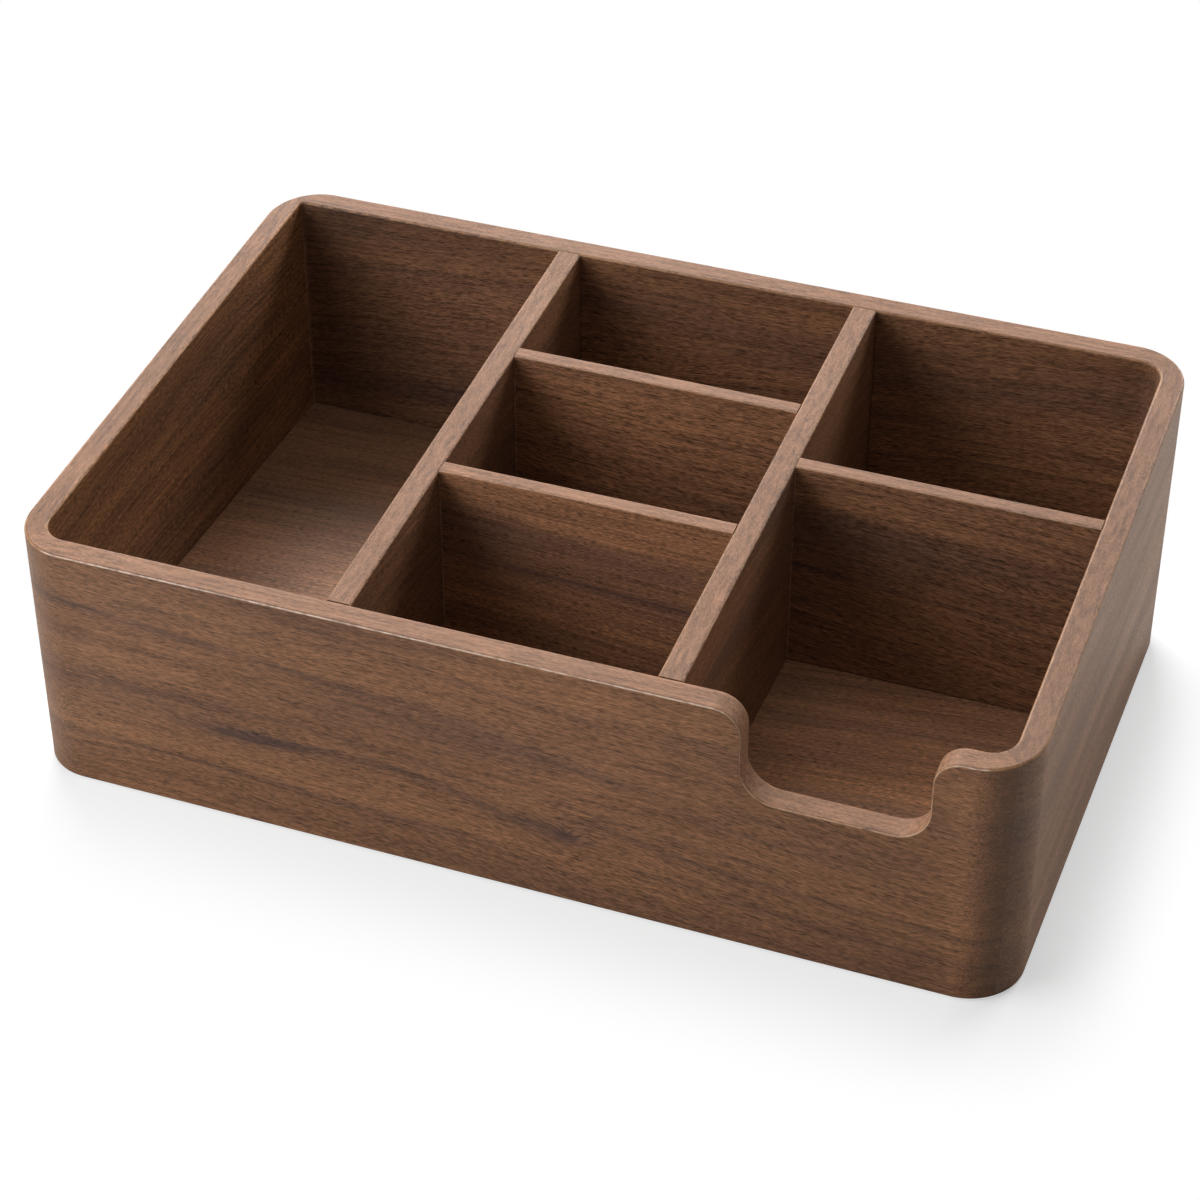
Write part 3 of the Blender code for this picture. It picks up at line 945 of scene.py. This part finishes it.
# The boards' own figure, in metres along, into and up the board. First two small knots with their halos
# and two broad dark patches: middle, reach, how far the growth lines lift over it, how dark.
frontSpots = [
    ((-0.079, 0.0, 0.0348), (0.0095, 0.03, 0.0019), 0.0016, 0.75),
    ((-0.085, 0.0, 0.0345), (0.024, 0.03, 0.0042), 0.001, 0.3),
    ((0.0225, 0.0, 0.026), (0.004, 0.03, 0.0024), 0.0022, 0.7),
    ((0.02, 0.0, 0.0265), (0.014, 0.03, 0.0055), 0.0012, 0.35),
    ((-0.005, 0.0, 0.056), (0.048, 0.03, 0.0085), 0.0, 0.3),
    ((-0.11, 0.0, 0.038), (0.03, 0.03, 0.006), 0.0, 0.22),
]
# A broad painted shade on the inside of the back wall in the left compartment, laid as a dark mark in the
# same columns as the knots.
backPaintedShade = [((0.105, 0.0, 0.06), (0.05, 0.05, 0.06), 0.0, 0.35)]
# Painted light and shade: patches where a board is made paler or darker as it is lit or shaded, such as
# the dark band round the front right corner, the glow beside it, shade in the back corners and pools of
# light on the floor panel: middle, reach, by how much. On the floor panel the places are those of its
# plank.
frontLightAndShade = [
    ((-0.1556, 0.0, 0.045), (0.015, 0.006, 0.2), -0.28),
    ((0.025, 0.0, 0.05), (0.045, 0.03, 0.05), 0.22),
    ((0.144, 0.0, 0.045), (0.006, 0.03, 0.2), 0.32),
    ((0.1546, 0.0, 0.045), (0.0085, 0.03, 0.2), -0.4),
]
backLightAndShade = [
    ((0.0, 0.01, 0.104), (0.4, 0.012, 0.018), -0.28),
    ((0.147, 0.01, 0.06), (0.03, 0.012, 0.07), -0.45),
]
leftLightAndShade = [
    ((-0.078, 0.01, 0.065), (0.035, 0.012, 0.05), 0.45),
    ((0.1, 0.0, 0.045), (0.014, 0.006, 0.2), -0.28),
]
rightLightAndShade = [((-0.1002, 0.0, 0.045), (0.0085, 0.03, 0.2), -0.4)]
floorLightAndShade = [
    ((3.99, 0.37, 0.63), (0.085, 0.1, 0.085), -0.5),
    ((4.205, 0.37, 0.515), (0.07, 0.1, 0.05), 0.6),
    ((4.023, 0.37, 0.515), (0.036, 0.1, 0.036), 0.85),
]
# The lines that run past the knots from left to right: where one starts and ends, how soft it is above
# and below, how dark, and the path that it takes, along and up.
frontLines = [
    (-0.175, -0.036, 0.0007, 0.0022, 0.62, (
        (-0.170, 0.0735), (-0.145, 0.0713), (-0.112, 0.0683), (-0.078, 0.0658), (-0.038, 0.0617),
        (0.010, 0.0560), (0.050, 0.0470), (0.100, 0.0415), (0.150, 0.0395))),
    (-0.036, 0.120, 0.0030, 0.0012, 0.30, (
        (-0.038, 0.0617), (0.005, 0.0560), (0.048, 0.0475), (0.072, 0.0430), (0.110, 0.0408),
        (0.150, 0.0395))),
    (-0.060, 0.066, 0.0007, 0.0010, 0.42, (
        (-0.052, 0.0810), (-0.028, 0.0780), (0.005, 0.0738), (0.038, 0.0705), (0.070, 0.0690))),
    (-0.160, 0.090, 0.0006, 0.0014, 0.47, (
        (-0.150, 0.0420), (-0.120, 0.0430), (-0.100, 0.0437), (-0.052, 0.0433), (-0.030, 0.0410),
        (-0.012, 0.0393), (0.022, 0.0377), (0.060, 0.0345), (0.120, 0.0310))),
    (-0.095, 0.020, 0.0012, 0.0026, 0.65, (
        (-0.100, 0.0345), (-0.070, 0.0356), (-0.045, 0.0372), (-0.028, 0.0355), (-0.012, 0.0330),
        (0.002, 0.0290), (0.015, 0.0278), (0.030, 0.0270))),
    (0.024, 0.170, 0.0010, 0.0018, 0.56, (
        (0.010, 0.0320), (0.030, 0.0332), (0.045, 0.0310), (0.063, 0.0282), (0.105, 0.0255),
        (0.145, 0.0238), (0.175, 0.0225))),
    (-0.155, -0.012, 0.0006, 0.0016, 0.52, (
        (-0.150, 0.0197), (-0.112, 0.0200), (-0.078, 0.0188), (-0.052, 0.0177), (-0.028, 0.0167),
        (0.000, 0.0175))),
    (0.040, 0.170, 0.0006, 0.0014, 0.52, (
        (0.030, 0.0205), (0.047, 0.0197), (0.072, 0.0177), (0.105, 0.0155), (0.145, 0.0138),
        (0.175, 0.0120))),
    (-0.070, 0.100, 0.0004, 0.0008, 0.27, (
        (-0.150, 0.0560), (-0.100, 0.0535), (-0.050, 0.0500), (0.000, 0.0455), (0.050, 0.0395),
        (0.100, 0.0360))),
    (0.080, 0.170, 0.0005, 0.0010, 0.31, (
        (0.070, 0.0090), (0.100, 0.0070), (0.150, 0.0050))),
]
pathFrame = {"reach": 0.18, "height": 0.09}   # what the path curves span, along and up


# The height of a line of the figure at each place along the board.
def linePath(along, points):
    reach, height = pathFrame["reach"], pathFrame["height"]
    node = addNode(along.tree, "ShaderNodeFloatCurve", Value=spread(along, -reach, reach, 0.0, 1.0))
    curve = node.mapping.curves[0]
    scaled = [((x + reach) / (2 * reach), z / height) for x, z in points]
    curve.points[0].location = scaled[0]
    curve.points[1].location = scaled[-1]
    for point in scaled[1:-1]:
        curve.points.new(*point)
    node.mapping.update()
    return wireOf(node) * height


def startMaterial(name):
    made = bpy.data.materials.new(name)
    made.use_nodes = True
    tree = made.node_tree
    return made, tree, tree.nodes["Principled BSDF"], addWire(tree, "ShaderNodeTexCoord", output="Object")


def dress(piece, material):
    piece.data.materials.clear()
    piece.data.materials.append(material)


# One board: its place in the plank, the way its grain runs, and its tone, which also carries painted light
# and shade.
def walnutMaterial(name, wall=None, turn=0, lay=0, shift=(0, 0, 0), slope=walnut["slope"], tone=1.0,
                   tint=(1, 1, 1), rim=1.0, smoke=0.6, fibre=1.0, worn=1.0, spots=(), lightAndShade=(), lines=()):
    made, tree, shader, where = startMaterial(name)
    start = 0.0
    if wall:
        start, turn, halfLength, halfAcross = wallLayout[wall]
    local = addWire(tree, "ShaderNodeMapping", Vector=where, Rotation=(radians(lay), 0, radians(turn)))
    shifted = place = calcVector("ADD", local, shift)
    if wall:
        place = addWire(tree, "ShaderNodeGroup", node_tree=roundCorners, Position=local, Start=start,
                        Half_Length=halfLength, Half_Width=halfAcross, Radius=organizer["outerRadius"])
    drift = addWire(tree, "ShaderNodeGroup", node_tree=grainFlow, Place=place, Slope=slope)
    dark = shade = 0.0

    def addSpot(middle, reach, lift=0.0):
        return addNode(tree, "ShaderNodeGroup", node_tree=knotAndPatchShape, Place=place, Reach=reach, Lift=lift,
                       Middle=Vector(middle) + Vector((start, 0, 0)))

    for middle, reach, lift, strength in spots:
        knotAndPatch = addSpot(middle, reach, lift)
        drift = drift + wireOf(knotAndPatch, "Drift")
        dark = dark + wireOf(knotAndPatch, "Dark") * strength
    # Painted light and shade: each patch makes the board paler or darker where it is lit or shaded.
    for middle, reach, strength in lightAndShade:
        shade = shade + wireOf(addSpot(middle, reach), "Dark") * strength
    for first, last, over, under, strength, path in lines:
        line = addWire(tree, "ShaderNodeGroup", node_tree=streak, Place=place, First=first, Last=last,
                       Path=linePath(apart(place)[0], path), Above=over, Below=under)
        dark = dark + line * strength

    drift = together(0.0, 0.0, drift)
    position = calcVector("ADD", shifted, drift)
    shades = {key.title(): tuple(tone * part * share for part, share in zip(walnut[key], tint)) + (1,)
              for key in ("light", "body", "smoke", "pore")}
    rimTop, edgeWearAndHairline, highlightAndWearLine = (
        addWire(tree, "ShaderNodeAttribute", attribute_name=label, output="Fac")
        for label in ("rimTop", "edgeWearAndHairline", "highlightAndWearLine"))
    grain = addNode(tree, "ShaderNodeGroup", node_tree=walnutGrain, Position=position,
                    Place=calcVector("ADD", place, drift), Marks=dark, Shade=shade, Smoke_Amount=smoke,
                    Fibre_Amount=fibre, Rim=rimTop,
                    Rim_Color=tuple(rim * part for part in walnut["rim"][:3]) + (1,), **shades)
    colour = addWire(tree, "ShaderNodeGroup", node_tree=edgeWearAndHighlight, Position=position, Edge=edgeWearAndHairline,
                     Color=wireOf(grain, "Color"), Worn=walnut["worn"], Amount=worn, Pale=highlightAndWearLine,
                     Pale_Color=walnut["pale"])
    thrown = calcVector("SCALE", colour, Scale=walnut["thrown"])
    colour = mixColours(addWire(tree, "ShaderNodeLightPath", output="Is Diffuse Ray"), colour, thrown)
    bump = addWire(tree, "ShaderNodeBump", Height=wireOf(grain, "Height"), Distance=walnut["bump"],
                   Strength=walnut["bumpStrength"])
    plug(shader, Base_Color=colour, Roughness=wireOf(grain, "Roughness"), Normal=bump,
         Specular_IOR_Level=walnut["gloss"])
    return made


# Each board's look. Shift is its place in the plank, wall lays the figure round the ring of walls,
# and turn or lay says which way its grain runs. Tone and tint scale its colours, rim those of its top;
# beyond the board's own tone their values make it lighter or darker as it is lit, which is painted light
# and shade, and the right wall's higher tone and grey tint are a painted sheen. Smoke, fibre and worn
# are the strength of its dark figure, its fine grain and its rubbed edges.
boards = [
    (walls["front"], "walnutFrontWall", {
        "wall": "front", "shift": (0.31, 0.02, 0.013), "rim": 1.1, "smoke": 0.3, "spots": frontSpots,
        "lightAndShade": frontLightAndShade, "lines": frontLines}),
    (walls["back"], "walnutBackWall", {
        "wall": "back", "shift": (1.43, 0.61, 0.34), "tone": 1.32, "smoke": 0.8, "fibre": 1.15,
        "spots": backPaintedShade, "lightAndShade": backLightAndShade}),
    (walls["left"], "walnutLeftWall", {
        "wall": "left", "shift": (2.2, 0.13, 0.77), "tone": 1.02, "tint": (1.0, 0.97, 0.83), "rim": 0.87,
        "smoke": 0.5, "fibre": 1.8, "lightAndShade": leftLightAndShade}),
    (walls["right"], "walnutRightWall", {
        "wall": "right", "shift": (3.6, 0.92, 0.18), "tone": 1.17, "tint": (0.93, 1.01, 1.14), "rim": 0.83,
        "smoke": 0.4, "lightAndShade": rightLightAndShade}),
    (floorBoard, "walnutFloorPanel", {
        "lay": 90, "shift": (4.1, 0.37, 0.55), "slope": -0.08, "tone": 1.34, "smoke": 0.5, "fibre": 1.15,
        "worn": 0.0, "lightAndShade": floorLightAndShade}),
    (dividers["long_left"], "walnutLongLeft", {
        "turn": -90, "shift": (5.5, 0.71, 0.26), "rim": 0.95, "fibre": 1.4}),
    (dividers["long_right"], "walnutLongRight", {
        "turn": -90, "shift": (6.3, 0.29, 0.83), "fibre": 1.4}),
    (dividers["cross_middle_rear"], "walnutMiddleRear", {
        "shift": (7.7, 0.45, 0.39), "tone": 1.34, "smoke": 0.8, "fibre": 1.25}),
    (dividers["cross_middle_front"], "walnutMiddleFront", {
        "shift": (8.2, 0.18, 0.66), "tone": 1.7, "smoke": 0.8, "fibre": 1.25}),
    (dividers["cross_right"], "walnutCrossRight", {
        "shift": (9.9, 0.83, 0.21), "tone": 1.25, "smoke": 1.0, "fibre": 1.25}),
]
for board, label, look in boards:
    dress(board, walnutMaterial(label, **look))
print("walnut laid on", len(boards), "boards")


# splines and pads, both out of sight

mapleFigure = {
    "Light": (0.56, 0.38, 0.21, 1),
    "Body": (0.44, 0.28, 0.15, 1),
    "Smoke": (0.36, 0.22, 0.12, 1),
    "Pore": (0.25, 0.15, 0.08, 1),
    "Smoke_Amount": 0.4,
}
maple = {"rough": 0.7, "bump": 0.00004, "bumpStrength": 0.5}
felt = {
    "dark": (0.018, 0.017, 0.016, 1),
    "pale": (0.055, 0.052, 0.050, 1),
    "fluff": 1800.0,          # tufts in a metre
    "curl": 1.5,
    "rough": 0.95,
    "bump": 0.0002,
    "bumpStrength": 0.8,
}


def makeSplineWood():
    made, tree, shader, where = startMaterial("splineMaple")
    grain = addNode(tree, "ShaderNodeGroup", node_tree=walnutGrain, Position=where, **mapleFigure)
    bump = addWire(tree, "ShaderNodeBump", Height=wireOf(grain, "Height"), Distance=maple["bump"],
                   Strength=maple["bumpStrength"])
    plug(shader, Base_Color=wireOf(grain, "Color"), Roughness=maple["rough"], Normal=bump)
    return made


def makeFelt():
    made, tree, shader, where = startMaterial("padFelt")
    fluff = addWire(tree, "ShaderNodeTexNoise", Vector=where, Scale=felt["fluff"], Detail=3.0,
                    Distortion=felt["curl"])
    bump = addWire(tree, "ShaderNodeBump", Height=fluff, Distance=felt["bump"],
                   Strength=felt["bumpStrength"])
    plug(shader, Base_Color=mixColours(fluff, felt["dark"], felt["pale"]), Roughness=felt["rough"],
         Normal=bump)
    return made


splineMaple = makeSplineWood()
for name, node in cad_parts.items():
    if name.startswith("mitre_spline"):
        for slot in node.material_slots:
            slot.material = splineMaple
padFelt = makeFelt()
for pad in pads:
    dress(pad, padFelt)


# stage, light and camera

studio = {
    "floorSize": 8.0,
    "floorColour": (0.82, 0.80, 0.75, 1),
    "shadowColour": (0.80, 0.80, 0.80, 1),    # the part of the lamps' light that the camera sees on it
    "floorLift": 0.38,        # the rest of its white
    "frontReach": 0.052,      # past this distance from the box the camera sees plain white
    "sideReach": 0.038,       # the same beside it
    "frontShadow": 0.56,      # strength of the shadow before the box, against that beside it
    "sky": 0.04,              # plain grey light from all round
    "lampAim": 0.05,          # height that the lamps point at
}
# Turn is from the front towards the left, rise is above the horizon.
lamps = {
    "back left": {"turn": 150, "rise": 36, "distance": 1.8, "size": 1.2, "power": 30.8},
    "front left": {"turn": 50, "rise": 30, "distance": 0.9, "size": 0.7, "power": 4.5},
    "back right": {"turn": -155, "rise": 30, "distance": 1.4, "size": 0.6, "power": 8.1},
    "overhead": {"turn": 0, "rise": 89, "distance": 1.2, "size": 0.8, "power": 2.1},
}
# The camera: distances in metres, lens and sensor in millimetres.
view = {
    "azimuth": radians(20.67),
    "elevation": radians(36.30),
    "distance": 0.98671,
    "aimHeight": 0.0358,
    "slideRight": -0.00488,
    "slideUp": 0.00098,
    "lens": 91.56,
    "sensor": 36.0,
}


# How near a point of the floor is to the box, seen from above: 1 at its walls and 0 at the reach.
def nearBox(tree):
    side, ahead = apart(addWire(tree, "ShaderNodeTexCoord", output="Object"))[:2]
    sideways = calc("MAXIMUM", calc("ABSOLUTE", side) - straightX, 0.0)
    onward = calc("MAXIMUM", calc("ABSOLUTE", ahead) - straightY, 0.0)
    beside = sideways / (sideways + onward + hair)
    reach = spread(beside, 0.0, 1.0, studio["frontReach"], studio["sideReach"])
    away = calcVector("LENGTH", together(sideways, onward, 0.0)) - organizer["outerRadius"]
    near = 1.0 - softStep(away / reach, 0.0, 1.0)
    return near * spread(beside, 0.0, 1.0, studio["frontShadow"], 1.0)


def makeFloorSheet():
    workOn(None)
    bpy.ops.mesh.primitive_plane_add(size=studio["floorSize"])
    sheet = bpy.context.object
    sheet.name = "studioFloor"
    made = bpy.data.materials.new("studioFloor")
    made.use_nodes = True
    tree = made.node_tree
    tree.nodes.clear()
    paper = addWire(tree, "ShaderNodeBsdfDiffuse", Color=studio["floorColour"])
    shaded = addWire(tree, "ShaderNodeBsdfDiffuse", Color=studio["shadowColour"])
    lift = addWire(tree, "ShaderNodeEmission", Strength=studio["floorLift"])
    white = addWire(tree, "ShaderNodeEmission", Strength=1.0)
    both = addWire(tree, "ShaderNodeAddShader", shaded, lift)
    pictured = addWire(tree, "ShaderNodeMixShader", nearBox(tree), white, both)
    isPicture = addWire(tree, "ShaderNodeLightPath", output="Is Camera Ray")
    addNode(tree, "ShaderNodeOutputMaterial",
            addWire(tree, "ShaderNodeMixShader", isPicture, paper, pictured))
    sheet.data.materials.append(made)


def makeSky():
    world = bpy.data.worlds.new("studio")
    bpy.context.scene.world = world
    world.use_nodes = True
    tree = world.node_tree
    tree.nodes.clear()
    ray = addNode(tree, "ShaderNodeLightPath")
    seen = calc("MAXIMUM", wireOf(ray, "Is Camera Ray"), wireOf(ray, "Is Glossy Ray"))
    seen = calc("MAXIMUM", seen, wireOf(ray, "Is Transmission Ray"))
    strength = spread(seen, 0.0, 1.0, studio["sky"], 1.0)
    sky = addWire(tree, "ShaderNodeBackground", Color=(1, 1, 1, 1), Strength=strength)
    addNode(tree, "ShaderNodeOutputWorld", sky)


def makeLamps():
    aim = Vector((0, 0, studio["lampAim"]))
    for name, lamp in lamps.items():
        turn, rise = radians(lamp["turn"]), radians(lamp["rise"])
        away = Vector((-sin(turn) * cos(rise), -cos(turn) * cos(rise), sin(rise)))
        bpy.ops.object.light_add(type="AREA", location=aim + away * lamp["distance"],
                                 rotation=away.to_track_quat("Z", "Y").to_euler())
        light = bpy.context.object
        light.name = name
        light.data.size = lamp["size"]
        light.data.energy = lamp["power"]
        light.visible_camera = False


def makeCamera():
    turn, rise = view["azimuth"], view["elevation"]
    away = Vector((sin(turn) * cos(rise), -cos(turn) * cos(rise), sin(rise)))
    right = Vector((cos(turn), sin(turn), 0))
    up = right.cross(-away)
    place = Vector((0, 0, view["aimHeight"])) + away * view["distance"]
    place += right * view["slideRight"] + up * view["slideUp"]
    bpy.ops.object.camera_add(location=place, rotation=(-away).to_track_quat("-Z", "Y").to_euler())
    camera = bpy.context.object
    camera.data.sensor_width = view["sensor"]
    camera.data.lens = view["lens"]
    camera.data.dof.use_dof = False
    bpy.context.scene.camera = camera


workOn(None)
makeFloorSheet()
makeSky()
makeLamps()
makeCamera()
bpy.context.scene.view_settings.view_transform = "Standard"
print("stage, light and camera set")
